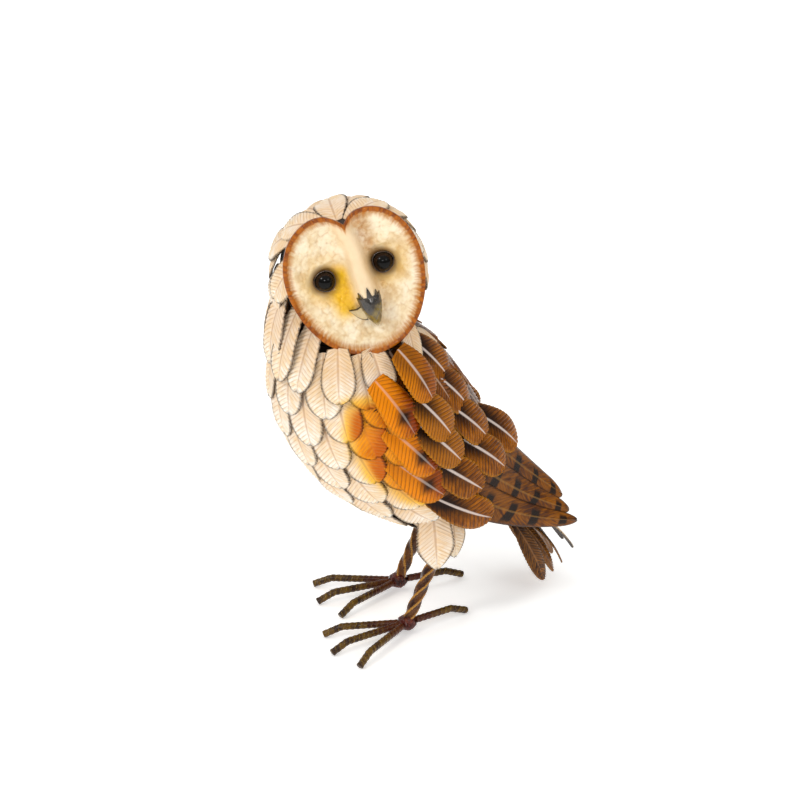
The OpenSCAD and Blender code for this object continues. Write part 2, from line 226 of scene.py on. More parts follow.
def solids(node):
    """The separate solids of a CAD node: points in millimetres, and triangles."""
    work = bmesh.new()
    work.from_mesh(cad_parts[node].data)
    bmesh.ops.remove_doubles(work, verts=work.verts, dist=1e-6)
    bmesh.ops.triangulate(work, faces=work.faces)
    work.verts.ensure_lookup_table()
    group = [-1] * len(work.verts)
    for start in work.verts:
        if group[start.index] >= 0:
            continue
        stack, group[start.index] = [start], start.index
        while stack:
            for link in stack.pop().link_edges:
                for vert in link.verts:
                    if group[vert.index] < 0:
                        group[vert.index] = start.index
                        stack.append(vert)
    points = np.array([v.co for v in work.verts]) / MM
    corners = np.array([[v.index for v in f.verts] for f in work.faces])
    work.free()
    group = np.array(group)
    group_of_face = group[corners[:, 0]]
    found = [(points[group == g], points[corners[group_of_face == g]]) for g in np.unique(group)]
    found = [pair for pair in found if len(pair[1]) > 3]
    return sorted(found, key=lambda pair: tuple(np.round(pair[0].mean(0), 1)))


def main_axes(triangles):
    """Centre of the solid's surface, and its axes from the longest to the shortest."""
    a, b, c = triangles[:, 0], triangles[:, 1], triangles[:, 2]
    area = np.linalg.norm(np.cross(b - a, c - a), axis=1)
    centre = (area[:, None] * (a + b + c)).sum(0) / (3 * area.sum())
    a, b, c = a - centre, b - centre, c - centre
    spread = sum(np.einsum("n,ni,nj->ij", area, p, p) for p in (a, b, c, a + b + c))
    axes = np.linalg.eigh(spread)[1].T[::-1]
    return centre, axes


def feather_frames(node):
    """Root, axes (across, along, out), length and width of each feather in a CAD node."""
    clear_lean, tip_slice, end_slice = 0.03, 0.4, 0.9
    frames = []
    for points, triangles in solids(node):
        centre, (along, across, out) = main_axes(triangles)
        # the cupped sheet's middle stands further out than its ends
        reach = (points - centre) @ out
        if reach.max() > -reach.min():
            out = -out
        # the root is the wide, straight end
        run = (points - centre) @ along
        lean = -(run.max() + run.min()) / 2 / (run.max() - run.min())
        if abs(lean) > clear_lean:
            root_is_low = lean > 0
        else:
            side = (points - centre) @ across
            low, high = side[run < run.min() + tip_slice], side[run > run.max() - tip_slice]
            root_is_low = np.ptp(low) > np.ptp(high)
        if not root_is_low:
            along, run = -along, -run
        across = np.cross(along, out)
        ends = [points[run < run.min() + end_slice], points[run > run.max() - end_slice]]
        root, tip = (p.mean(0) + ((centre - p.mean(0)) @ across) * across for p in ends)
        along = unit(tip - root)
        out = unit(out - (out @ along) * along)
        across = np.cross(along, out)
        width = np.ptp((points - centre) @ across)
        frames.append((root, np.array([across, along, out]), np.linalg.norm(tip - root), width))
    return frames


# ---- feathers ----

# Where a vane's mesh has points across each half, from the quill to the edge
GRADES = np.array([0.07, 0.16, 0.38, 0.6, 0.82, 1.0])
FLIGHT_GRADES = np.concatenate([[0.07, 0.16], np.linspace(0.16, 1, 6)[1:]])
CURL, LEAN = 0.6, 0.05


def vane(length, width, barbs, root=0.6, point=0.0, slant=35, steps=3, taper=0.6, grades=GRADES):
    """A flat feather with its grid along its barbs.

    root: its width there, as a share. point: 0 for a round tip and 1 for a sharp one. slant: angle
    of the barbs in degrees. steps: rows of points for each barb. taper: where its tip begins.

    It returns x and y of each point, s (the place along the quill where its barb starts), u
    (its place along the barb, from -1 to 1) and the barb's phase.
    """
    widest, quill_end = 0.6, 0.985
    q = np.linspace(0, 1, 400)
    body = root + (1 - root) * np.sin(np.minimum(q / widest, 1) * math.pi / 2)
    tip = np.clip((q - taper) / (1 - taper), 0, 1)
    round_tip = (1 - tip**2.3) ** 0.55
    sharp_tip = 1 - tip**1.3
    half = width / 2 * body * (round_tip * (1 - point) + sharp_tip * point)
    start = q - half * math.tan(math.radians(slant)) / length
    start = np.maximum.accumulate(start + 1e-6 * q)
    rows = int(round((quill_end - start[0]) * barbs * steps))
    s = np.linspace(start[0], quill_end, rows)
    edge = np.interp(s, start, q)
    reach = np.interp(edge, q, half)
    quill = np.where(s > 0, s, 0.2 * s)
    s, u = mesh_grid(s, np.concatenate([-grades[::-1], [0], grades]))
    mix = np.abs(u) ** 1.15
    y = length * (quill[:, None] * (1 - mix) + edge[:, None] * mix)
    x = reach[:, None] * u
    return x, y, s, u, s * barbs


def relief(x, s, u, phase, quill=0.5, barb=0.3, crease=0.0):
    """Height of the stamped pattern: a quill or a crease, and grooves between the barbs."""
    groove = np.clip(1.4 * np.cos(2 * math.pi * phase), -1, 1)
    fade = ramp(np.abs(u), 0.07, 0.25)
    rib = bell(x, 0.9) * quill * (1.1 - 0.8 * np.clip(s, 0, 1)) - bell(x, 1.2) * crease
    return rib - barb * groove * fade


def add_sheet(mesh, points, s, u, tone, part, warm):
    """A feather with the values that its paint reads.

    feather: s, u and a number of its own. spread: the part of its length, how warm its colour is,
    and 1 on its underside.
    """
    count = s.size
    feather = np.stack([s.ravel(), u.ravel(), np.full(count, tone)], -1)
    heat = warm(points[:count]) if callable(warm) else np.full(count, warm)
    above = np.stack([part.ravel(), heat, np.zeros(count)], -1)
    mesh.add(
        points, sheet_faces(*s.shape),
        feather=np.concatenate([feather] * 2), spread=np.concatenate([above, above + [0, 0, 1]]),
    )


def add_feather(mesh, place, barbs, cup, rng, warm=0.0, wider=1.12, **style):
    """One stamped feather in the place of a CAD feather. cup: its radius of curvature."""
    origin, axes, length, width = place
    shape = {key: style.pop(key) for key in ("root", "point", "slant") if key in style}
    x, y, s, u, phase = vane(length, width * wider, barbs, **shape)
    dome = np.sqrt(cup**2 - x**2 - (y - length / 2) ** 2) - math.sqrt(cup**2 - (length / 2) ** 2)
    tip_curl = rng.uniform(-0.4, 1) * CURL
    twist = LEAN + rng.uniform(-0.03, 0.03)
    wave = rng.uniform(0, 6.3)
    tone = rng.uniform(0, 1)
    part = np.clip(y / length, 0, 1)
    z = dome + tip_curl * part**2 + twist * x * part
    z += 0.35 * np.abs(u) ** 3 * np.sin(part * 9 + wave + 2 * np.sign(u))
    z += 0.5 * bell(np.abs(u) - 0.5, 0.3) * part * (1 - part) * 4
    top = z + relief(x, s, u, phase, **style)
    x = x * (1 + 0.035 * np.cos(2 * math.pi * phase) * ramp(np.abs(u), 0.6, 1))
    both = [np.stack([x, y, height], -1).reshape(-1, 3) for height in (top, z - SHEET)]
    add_sheet(mesh, origin + np.concatenate(both) @ axes, s, u, tone, part, warm)


# ---- materials ----


def colour(text):
    """Linear RGBA from a hex colour."""
    parts = [int(text[i : i + 2], 16) / 255 for i in (0, 2, 4)]
    return [p / 12.92 if p <= 0.04045 else ((p + 0.055) / 1.055) ** 2.4 for p in parts] + [1]


class Paint:
    """A procedural material, and short ways to add its nodes."""

    def __init__(self, name, roughness=0.4, **values):
        self.material = bpy.data.materials.new(name)
        self.material.use_nodes = True
        self.tree = self.material.node_tree
        self.shader = self.tree.nodes["Principled BSDF"]
        self.shader.inputs["Roughness"].default_value = roughness
        for key, value in values.items():
            self.shader.inputs[key.replace("_", " ")].default_value = value

    def put(self, socket, value):
        if isinstance(value, bpy.types.NodeSocket):
            self.tree.links.new(value, socket)
        else:
            socket.default_value = value

    def node(self, kind, *values, **settings):
        new = self.tree.nodes.new(kind)
        for key, value in settings.items():
            setattr(new, key, value)
        for socket, value in zip(new.inputs, values):
            self.put(socket, value)
        return new

    def do(self, operation, *values):
        return self.node("ShaderNodeMath", *values, operation=operation).outputs[0]

    def times(self, first, *others):
        for other in others:
            first = self.do("MULTIPLY", first, other)
        return first

    def plus(self, first, *others):
        for other in others:
            first = self.do("ADD", first, other)
        return first

    def off(self, value, middle):
        """Distance from the middle."""
        return self.do("ABSOLUTE", self.do("SUBTRACT", value, middle))

    def step(self, value, low, high, start=0.0, end=1.0):
        """Smooth step from start at low to end at high."""
        new = self.node("ShaderNodeMapRange", value, low, high, start, end)
        new.interpolation_type = "SMOOTHSTEP"
        return new.outputs[0]

    def fade(self, value, low, high):
        return self.step(value, low, high, 1.0, 0.0)

    def mix(self, share, first, second):
        new = self.tree.nodes.new("ShaderNodeMix")
        new.data_type = "RGBA"
        for number, value in ((0, share), (6, first), (7, second)):
            self.put(new.inputs[number], colour(value) if isinstance(value, str) else value)
        return new.outputs[2]

    def values(self, name):
        attribute = self.node("ShaderNodeAttribute", attribute_name=name)
        return self.node("ShaderNodeSeparateXYZ", attribute.outputs["Vector"]).outputs

    def vector(self, x, y, z):
        return self.node("ShaderNodeCombineXYZ", x, y, z).outputs[0]

    def noise(self, vector, scale, detail=3.0):
        new = self.tree.nodes.new("ShaderNodeTexNoise")
        settings = {"Vector": vector, "Scale": scale, "Detail": detail, "Roughness": 0.55}
        for key, value in settings.items():
            self.put(new.inputs[key], value)
        return new.outputs[0]

    def grain(self, scale, detail=3.0):
        """Noise fixed to the object. The scale is per metre."""
        return self.noise(self.node("ShaderNodeTexCoord").outputs["Object"], scale, detail)

    def clouded(self, cloud, first, second):
        return self.mix(self.step(cloud, 0.35, 0.65), first, second)

    def bump(self, height, distance, strength):
        new = self.tree.nodes.new("ShaderNodeBump")
        new.inputs["Strength"].default_value = strength
        new.inputs["Distance"].default_value = distance
        self.put(new.inputs["Height"], height)
        self.put(self.shader.inputs["Normal"], new.outputs[0])

    def finish(self, base, roughness=None):
        self.put(self.shader.inputs["Base Color"], base)
        if roughness is not None:
            self.put(self.shader.inputs["Roughness"], roughness)
        return self.material


def feather_paint(name, barbs, colours, shares, roughness, bars=0.0, **shader):
    """Enamel on a stamped feather.

    colours: light and deep for its body, groove for the lines between its barbs, edge, quill, and
    root for its upper part. A feather that can glow has gold, warm and burnt too. On cream and
    flight feathers the dark edge colour is a painted shadow outline on the rims and painted shade
    on the underside; on the others it is their gold edge paint. The pale quill of back and covert
    feathers is its paint with a painted highlight on it.
    shares: how strongly they show. heart is a dark spot near the tip, and side is how much sooner
    the dark root ends towards the edges.
    bars: dark bars across it, in radians along its length.
    """
    share = {"heart": 0.0, "side": 0.0, **shares}
    p = Paint(name, roughness, **shader)
    s, u, tone = p.values("feather")[:3]
    part, warm, under = p.values("spread")[:3]
    side = p.do("ABSOLUTE", u)
    phase = p.times(s, barbs)
    shift = p.times(tone, 40.0)
    streak = p.noise(p.vector(phase, p.times(u, 1.6), shift), 1.3)
    fine = p.noise(p.vector(p.times(phase, 3.0), p.times(u, 3.0), shift), 2.2, 2.0)
    cloud = p.grain(38.0)
    mottle = p.plus(p.times(streak, 0.6), p.times(cloud, 0.4))
    body = p.mix(p.step(mottle, 0.38, 0.62), colours["light"], colours["deep"])
    if "warm" in colours:
        body = p.mix(p.step(warm, 0.0, 0.45), body, colours["gold"])
        scorch = p.plus(p.times(part, 0.8), p.times(u, -0.35), p.times(streak, 0.6))
        glow = p.mix(p.step(scorch, 0.45, 1.1), colours["warm"], colours["burnt"])
        body = p.mix(p.step(warm, 0.3, 0.9), body, glow)
    off_root = p.plus(part, p.times(side, share["side"]), p.times(fine, 0.25))
    upper = p.times(p.fade(off_root, 0.45, 1.15), share["root"])
    upper = p.times(upper, p.step(warm, 0.3, 0.9, 1.0, 0.12))
    body = p.mix(upper, body, colours["root"])
    if share["heart"]:
        off_heart = p.plus(p.times(p.off(part, 0.66), 2.6), p.times(side, 0.8))
        heart = p.fade(p.plus(off_heart, p.times(streak, 0.3)), 0.25, 0.85)
        heart = p.times(heart, p.step(warm, 0.4, 0.8), share["heart"])
        body = p.mix(heart, body, colours["root"])
    line = p.times(
        p.fade(p.do("PINGPONG", phase, 0.5), 0.04, 0.2), p.step(side, 0.06, 0.2),
        p.step(fine, 0.25, 0.6, 0.5, 1.0), p.step(warm, 0.3, 1.0, 1.0, 0.6), share["groove"],
    )
    body = p.mix(line, body, colours["groove"])
    if bars:
        wave = p.do("SINE", p.times(p.plus(part, p.times(cloud, 0.06)), bars))
        bar = p.times(p.step(wave, 0.4, 0.8), p.fade(p.off(u, -0.1), 0.5, 0.9), 0.95)
        body = p.mix(bar, body, colours["groove"])
    # Rims and underside take the edge colour: on cream and flight feathers a painted shadow outline
    # on the rims and painted shade underneath, on back, covert and tail feathers their gold edge
    # paint
    rim = p.do("MAXIMUM", p.step(side, 0.84, 0.98), p.step(s, 0.93, 0.985))
    rim = p.do("MAXIMUM", p.times(rim, p.step(fine, 0.3, 0.7, 0.4, 1.0)), under)
    body = p.mix(p.times(rim, share["edge"]), body, colours["edge"])
    # The pale quill of back and covert feathers is its paint with a painted highlight on it
    quill_and_sheen = p.times(p.fade(side, 0.03, 0.1), share["quill"], p.step(warm, 0.4, 0.9, 1.0, 0.35))
    body = p.mix(quill_and_sheen, body, colours["quill"])
    p.bump(p.plus(fine, p.times(p.grain(900.0, 2.0), 0.25)), 0.00025, 0.5)
    return p.finish(body, p.step(streak, 0.3, 0.7, roughness - 0.08, roughness + 0.1))


# The cream feathers' dark edge colour is a painted shadow outline on their rims and painted shade
# on their undersides
cream = feather_paint(
    "cream_enamel", BARBS,
    {"light": "FFF8EC", "deep": "F6DDB8", "groove": "BE8C50", "edge": "2A1206", "quill": "A8744A",
     "root": "E0B27C", "gold": "FFC848", "warm": "F59A04", "burnt": "C45E02"},
    {"groove": 0.45, "edge": 1.0, "root": 0.5, "quill": 0.45},
    0.42, Specular_IOR_Level=0.1, Coat_Weight=0.02,
)
# The back feathers' pale quill colour is the quill's paint with a painted highlight on it
back = feather_paint(
    "back_enamel", BARBS,
    {"light": "8E4E0C", "deep": "4C2206", "groove": "180902", "edge": "B87418", "quill": "C9A890",
     "root": "180902", "gold": "8E4E0C", "warm": "C47408", "burnt": "7A3A04"},
    {"groove": 0.8, "edge": 0.4, "root": 0.85, "quill": 0.6, "side": 0.5},
    0.3, Specular_IOR_Level=0.14, Coat_Weight=0.06,
)
# The coverts' pale quill colour is the quill's paint with a painted highlight on it
covert = feather_paint(
    "covert_enamel", BARBS,
    {"light": "A86006", "deep": "703A02", "groove": "1A0802", "edge": "B4780E", "quill": "E0CFC6",
     "root": "160601", "gold": "A8640A", "warm": "F08A04", "burnt": "8A3602"},
    {"groove": 0.7, "edge": 0.6, "root": 0.97, "quill": 0.8, "side": 0.6, "heart": 0.97},
    0.28, Specular_IOR_Level=0.1, Coat_Weight=0.04,
)
# The flight feathers' near-black edge colour is a painted shadow along their stepped rims and
# painted shade on their undersides and the wing's backing
flight = feather_paint(
    "flight_enamel", FLIGHT_BARBS,
    {"light": "94560A", "deep": "4A2204", "groove": "100602", "edge": "120702", "quill": "A87A3A",
     "root": "2C1202"},
    {"groove": 0.3, "edge": 0.9, "root": 0.3, "quill": 0.35},
    0.24, bars=42.0, Specular_IOR_Level=0.1, Coat_Weight=0.08,
)
tail = feather_paint(
    "tail_enamel", TAIL_BARBS,
    {"light": "945A14", "deep": "401E04", "groove": "120702", "edge": "A8722E", "quill": "9A6C42",
     "root": "1C0C04"},
    {"groove": 0.85, "edge": 0.35, "root": 0.5, "quill": 0.4},
    0.28, Specular_IOR_Level=0.14, Coat_Weight=0.08,
)


def shell_paint():
    # Clouded dark brown for the shell parts that show in the gaps between the feathers
    p = Paint("dark_shell_brown", 0.6)
    cloud = p.grain(60.0, 4.0)
    p.bump(p.grain(700.0), 0.0003, 0.4)
    return p.finish(p.clouded(cloud, "2A1B12", "46301F"), p.step(cloud, 0.3, 0.7, 0.5, 0.75))


def face_paint():
    """Cream enamel with scales, a yellow wash round the eyes, a painted shadow in brown on one side
    of the nose, and an orange-brown rim.

    face: x and y over the disc's radius, and a third value that is 1 on the disc's edge and gets
    smaller inwards. skin: height of the scales, share of the nose ridge, and distance to the
    nearer eye in mm.
    """
    p = Paint("face_enamel", 0.38, Specular_IOR_Level=0.25, Coat_Weight=0.08)
    x, y, radius = p.values("face")[:3]
    scale, nose, eye = p.values("skin")[:3]
    cloud, wide, fleck = p.grain(90.0, 4.0), p.grain(40.0, 2.0), p.grain(260.0)
    angle = p.do("ARCTAN2", x, y)
    strokes = p.noise(p.vector(p.times(angle, 16.0), p.times(radius, 2.5), 0.0), 1.4)
    body = p.clouded(cloud, "F9EACC", "ECD4A8")
    low_skin = p.fade(p.plus(scale, p.times(fleck, 0.5)), 0.35, 1.1)
    body = p.mix(p.times(low_skin, 0.45), body, "C08A40")
    # yellow wash round both eyes, and stronger between the owl's right eye and its nose
    near = p.fade(p.plus(eye, p.times(wide, 10.0)), 15.0, 29.0)
    low = p.step(p.plus(y, p.times(p.do("ABSOLUTE", x), 0.35)), 0.25, 0.8, 1.0, 0.25)
    body = p.mix(p.times(near, low, 0.6), body, "E2B034")
    off_pool = p.plus(p.off(x, -0.26), p.times(wide, 0.1))
    level = p.times(p.step(y, -0.55, -0.3), p.fade(y, 0.2, 0.42))
    pool = p.times(p.fade(off_pool, 0.12, 0.34), level, 0.95)
    body = p.mix(pool, body, "F2BE14")
    # painted shadow in brown on the owl's left side of the nose
    off_nose_shadow = p.plus(p.off(x, 0.3), p.times(wide, 0.2))
    shade = p.times(p.fade(off_nose_shadow, 0.1, 0.3), p.step(y, 0.05, 0.5, 0.3, 1.0))
    body = p.mix(p.times(shade, p.step(fleck, 0.3, 0.7, 0.35, 0.75)), body, "A8691E")
    ring = p.fade(p.plus(eye, p.times(cloud, 3.0)), 9.5, 15.0)
    body = p.mix(p.times(ring, 0.8), body, "6B400C")
    tan = p.step(p.plus(cloud, p.times(fleck, 0.6)), 0.76, 1.04)
    body = p.mix(p.times(tan, 0.26), body, "B97C34")
    body = p.mix(p.times(nose, 0.85), body, "F2D6AE")
    # strokes of brown that run in from the rim
    dusk = p.step(p.plus(radius, p.times(strokes, 0.2)), 0.92, 1.05)
    body = p.mix(p.times(dusk, 0.85), body, "BE7414")
    rim = p.step(p.plus(radius, p.times(strokes, 0.07)), 0.95, 0.985)
    body = p.mix(rim, body, p.clouded(strokes, "7C3A02", "B06004"))
    p.bump(p.plus(p.times(strokes, 0.6), p.times(fleck, 0.6)), 0.0005, 0.5)
    return p.finish(body, p.step(cloud, 0.3, 0.7, 0.3, 0.48))


def beak_paint():
    """beak: 0 at its root to 1 at its tip, and 1 where it is black."""
    p = Paint("beak_enamel", 0.28, Coat_Weight=0.5)
    along, black = p.values("beak")[:2]
    cloud = p.grain(260.0, 4.0)
    body = p.clouded(cloud, "8A7432", "544417")
    body = p.mix(p.step(p.plus(along, p.times(cloud, 0.25)), 0.9, 1.15), body, "C7B183")
    ragged = p.plus(black, p.times(p.do("SUBTRACT", cloud, 0.5), 0.8))
    dark = p.mix(p.step(cloud, 0.4, 0.6), "17130F", "3A332C")
    body = p.mix(p.step(ragged, 0.35, 0.65), body, dark)
    p.bump(cloud, 0.0004, 0.4)
    return p.finish(body, p.step(cloud, 0.3, 0.7, 0.2, 0.4))


def eye_paint():
    """gaze: angle from the middle of the pupil, from 0 to 1 at a right angle."""
    p = Paint("eye_enamel", 0.25, Specular_IOR_Level=0.05, Coat_Weight=0.22, Coat_Roughness=0.03)
    gaze = p.values("gaze")[0]
    iris = p.clouded(p.grain(1400.0), "140A04", "28140A")
    body = p.mix(p.step(gaze, 0.42, 0.5), "040302", iris)
    return p.finish(p.mix(p.step(gaze, 0.62, 0.74), body, "0C0704"))


def lid_paint():
    p = Paint("lid_enamel", 0.25, Coat_Weight=0.4)
    cloud = p.grain(300.0)
    p.bump(cloud, 0.0003, 0.4)
    return p.finish(p.clouded(cloud, "241609", "4A3014"), p.step(cloud, 0.3, 0.7, 0.2, 0.4))


def rod_paint(name, dark, mid, gold, wear, roughness, ankle=None):
    """Bronze enamel with gold on the high lines: a painted highlight along the legs' twisted
    corners, gold on the tops of the toes' ribs, and worn gold in patches on the welds.

    rod: its height from 0 to 1, and the distance along the rod in mm. ankle: its colour there.
    """
    p = Paint(name, roughness, Specular_IOR_Level=0.25, Coat_Weight=0.15)
    high, run = p.values("rod")[:2]
    cloud, fine = p.grain(150.0, 4.0), p.grain(900.0)
    body = p.clouded(cloud, dark, mid)
    # Gold on the high lines: a painted highlight on the legs' corners, gold paint on the toes and
    # welds
    wear_and_sheen = p.step(p.plus(high, p.times(p.do("SUBTRACT", fine, 0.5), 0.9)), 0.55, 1.0)
    body = p.mix(p.times(wear_and_sheen, wear), body, gold)
    if ankle:
        near = p.step(p.plus(run, p.times(cloud, 14.0)), 12.0, 40.0, 0.75, 0.0)
        body = p.mix(near, body, ankle)
    p.bump(p.plus(fine, cloud), 0.0004, 0.5)
    return p.finish(body, p.step(fine, 0.3, 0.7, roughness - 0.08, roughness + 0.15))


# ---- the CAD nodes that stay ----

shell_brown = shell_paint()
for kept in ("body_shell_left", "body_shell_right", "tail_cap", "leg_plate", "neck_ring",
             "neck_sleeve", "head_shell"):
    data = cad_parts[kept].data
    data.materials.clear()
    data.materials.append(shell_brown)


# ---- body and head feathers ----

ROWS = {
    "crown_row": 3, "nape_row": 3, "throat_row": 2, "breast_row": 4, "belly_row": 3, "back_row": 5,
}
STYLES = {
    "back": {"warm": 0.15, "quill": 0.8, "barb": 0.35},
    "head": {"root": 0.38, "wider": 1.02, "quill": 0.25, "barb": 0.4, "crease": 0.4},
    "covert": {"quill": 0.8, "barb": 0.42},
    "thigh": {"root": 0.75, "point": 0.75, "quill": 0.3, "barb": 0.35, "crease": 0.4},
    "tail": {"root": 0.4, "point": 0.35, "quill": 0.6, "barb": 0.35, "slant": 50},
    "tail_middle": {"root": 0.45, "point": 0.3, "quill": 0.5, "barb": 0.3, "slant": 45},
}


def side_glow(points):
    """The feathers next to the wings turn from cream to orange."""
    level = ramp(points[:, 2], 232, 205) * ramp(points[:, 2], 92, 130)
    return ramp(np.abs(points[:, 0]), 48, 62) * level


STYLES["body"] = {"warm": side_glow, "quill": 0.2, "barb": 0.42, "crease": 0.6}


def covert_glow(origin):
    """The front coverts are orange, and those further back are brown."""
    low = ramp(abs(origin[0]), 38, 60) * 0.6 + 0.4
    return float((1 - ramp(origin[1] - STANCE_Y, -60, 0)) * low)


def under_rim(place):
    """The same place, begun 4 mm further up and sunk 1 mm, under the rim of the face."""
    origin, axes, length, width = place
    return origin - 4 * axes[1] - axes[2], axes, length + 4, width


def make_feathers(node, name, material, barbs, cup, rng, style):
    mesh = Mesh()
    for place in feather_frames(node):
        if node == "crown_row_1":
            place = under_rim(place)
        if style == "covert":
            add_feather(mesh, place, barbs, cup, rng, warm=covert_glow(place[0]), **STYLES[style])
        else:
            add_feather(mesh, place, barbs, cup, rng, **STYLES[style])
    mesh.make(name, material, [node])


seed = 100
for row, count in ROWS.items():
    kind = row.split("_")[0]
    style = "back" if kind == "back" else "head" if kind in CUP else "body"
    for number in range(1, count + 1):
        seed += 1
        node = f"{row}_{number}"
        rng = np.random.default_rng(seed)
        paint = back if kind == "back" else cream
        make_feathers(node, f"{node}_feathers", paint, BARBS, CUP.get(kind, BODY_CUP), rng, style)

for _, side in SIDES:
    for number in range(1, 6):
        node = f"covert_row_{number}_{side}"
        rng = np.random.default_rng(200 + number)
        make_feathers(node, f"{node}_feathers", covert, BARBS, CUP["covert"], rng, "covert")
    rng = np.random.default_rng(300)
    node = f"thigh_feathers_{side}"
    make_feathers(node, f"thigh_{side}", cream, THIGH_BARBS, BODY_CUP, rng, "thigh")
    node = f"tail_feathers_{side}"
    make_feathers(node, f"tail_{side}", tail, TAIL_BARBS, BODY_CUP, rng, "tail")
rng = np.random.default_rng(310)
make_feathers(
    "tail_feathers_middle", "tail_middle", cream, TAIL_MIDDLE_BARBS, BODY_CUP, rng, "tail_middle"
)


# ---- wings: a backing sheet and long flight feathers that overlap like steps ----

# Start and end along the wing, middle across it at both, half width, height and tone
FLIGHT_FEATHERS = (
    (0.3, 0.95, (0.78, 0.84), 0.22, 0.3, 0.2),
    (0.3, 0.975, (0.48, 0.5), 0.23, 1.9, 0.5),
    (0.3, 1.0, (0.17, 0.2), 0.22, 3.5, 0.8),
)
BACKING_BELOW, FLIGHT_SHEET = 1.4, 1.0


def add_flight(mesh, side, start, end, middle, spread, lift, tone):
    """One flight feather on the wing. Its places are shares of the wing's length and width."""
    x, y, s, u, phase = vane(
        1.0, 2.0, FLIGHT_BARBS, root=0.85, slant=6, steps=2, taper=0.9, grades=FLIGHT_GRADES
    )
    along = start + (end - start) * np.clip(y, -0.02, 1)
    half = spread * (1 - 0.15 * y)
    across = middle[0] + (middle[1] - middle[0]) * np.clip(y, 0, 1) + half * x
    across = np.clip(across, -0.03, 1.03)
    crown = 1.6 * (1 - np.minimum(np.abs(u), 1) ** 2)
    grooves = 0.16 * np.cos(2 * math.pi * phase) * ramp(np.abs(u), 0.05, 0.2)
    stamp = 0.5 * bell(x, 0.05) - grooves
    heights = (lift + crown + stamp, lift + crown - FLIGHT_SHEET)
    both = [wing_point(along, across, height, side).reshape(-1, 3) for height in heights]
    add_sheet(mesh, np.concatenate(both), s, u, tone, y, 0.0)


for side, name in SIDES:
    mesh = Mesh()
    along, across = mesh_grid(np.linspace(0.1, 0.88, 40), np.linspace(0.02, 0.98, 16))
    backing = [wing_point(along, across, height, side) for height in (0.0, -BACKING_BELOW)]
    # The backing counts as an underside all over, so the flight paint gives it its near-black edge
    # colour: painted shade under the flight feathers
    mesh.add(
        np.concatenate([points.reshape(-1, 3) for points in backing]), sheet_faces(*along.shape),
        feather=[0.3, 0.5, 0.5], spread=[0.0, 0.0, 1.0],
    )
    for feather in FLIGHT_FEATHERS:
        add_flight(mesh, side, *feather)
    mesh.make(f"wing_{name}", flight, [f"wing_panel_{name}"])


# ---- face ----


def disc_edge(angle):
    """Radius of the heart-shaped disc. The angle is 0 at its top and positive to its left."""
    notch = (DISC_NOTCH + 10) * np.exp(-np.abs(np.degrees(angle) - NOTCH_LEAN) / 18)
    return DISC_R + 5 + 8.5 * np.cos(angle) + 5.5 * np.cos(2 * angle) - notch


def nose_share(x, y):
    """1 on the crest of the nose ridge and 0 off it."""
    x = x - NOSE_LEAN * ramp(y, 58, 25)
    half = 6.5 + 2.5 * ramp(-y, -40, 12)
    return np.exp(-((np.abs(x) / half) ** 3.4)) * ramp(y, NOSE_END - 9, NOSE_END + 1)


def eye_distance(x, y, side, squash=1.0):
    return np.hypot(x - side * EYE_X, (y - EYE_Y) * squash)


def face_height(x, y):
    """Height of the face's surface without its scales and rim."""
    bowl = DISC_FLOOR + DISC_BOWL - np.sqrt(DISC_BOWL**2 - x**2 - y**2)
    crest = 17.5 - 12.5 * ramp(y, -8, 52)
    height = bowl + crest * nose_share(x, y)
    for side, _ in SIDES[::-1]:
        height -= 4.4 * bell(eye_distance(x, y, side, 1.05), 11.0)
    return height


def scale_pattern(x, y):
    """Rounded scales, from 0 between them to 1 on top, on a jittered lattice."""
    cell, row_gap, jitter, warp, size = 4.4, 0.87, 0.24, 0.9, 0.8
    rng = np.random.default_rng(7)
    spots = [
        ((i + 0.5 * (j % 2)) * cell, j * cell * row_gap)
        for i in range(-17, 18)
        for j in range(-20, 21)
    ]
    spots = np.array(spots) + rng.uniform(-jitter, jitter, (len(spots), 2)) * cell
    x, y = x + warp * flat_lumps(x, y, 9, 31), y + warp * flat_lumps(x, y, 9, 32)
    nearest = np.full(x.size, np.inf)
    for spot_x, spot_y in spots:
        nearest = np.minimum(nearest, (x - spot_x) ** 2 + (y - spot_y) ** 2)
    return np.clip(1 - nearest / (size * cell) ** 2, 0, 1)


def disc_faces(rings, spokes):
    """Faces of two discs and the rim between them. Each disc's middle point is its last."""
    size = rings * spokes + 1
    faces = []
    for i in range(rings - 1):
        for j in range(spokes):
            a, b = i * spokes + j, i * spokes + (j + 1) % spokes
            faces.append((a, a + spokes, b + spokes, b))
            faces.append((size + b, size + b + spokes, size + a + spokes, size + a))
    for j in range(spokes):
        a, b = j, (j + 1) % spokes
        faces.append((size - 1, a, b))
        faces.append((2 * size - 1, size + b, size + a))
        a, b = ((rings - 1) * spokes + k for k in (a, b))
        faces.append((a, a + size, b + size, b))
    return faces


def ring_faces(spokes, sides):
    """Faces of a tube that closes on itself."""
    return [
        (i * sides + j, i * sides + (j + 1) % sides,
         (i + 1) % spokes * sides + (j + 1) % sides, (i + 1) % spokes * sides + j)
        for i in range(spokes)
        for j in range(sides)
    ]


def thick(upper, sheet):
    """The points of a sheet's upper side, and then of its lower side."""
    upper = upper.reshape(-1, 3)
    return np.concatenate([upper, upper - [0, 0, sheet]])


def two_values(first, second):
    """Two values for each point, in a vector whose third part is 0."""
    return np.stack([first.ravel(), second.ravel(), np.zeros(first.size)], -1)


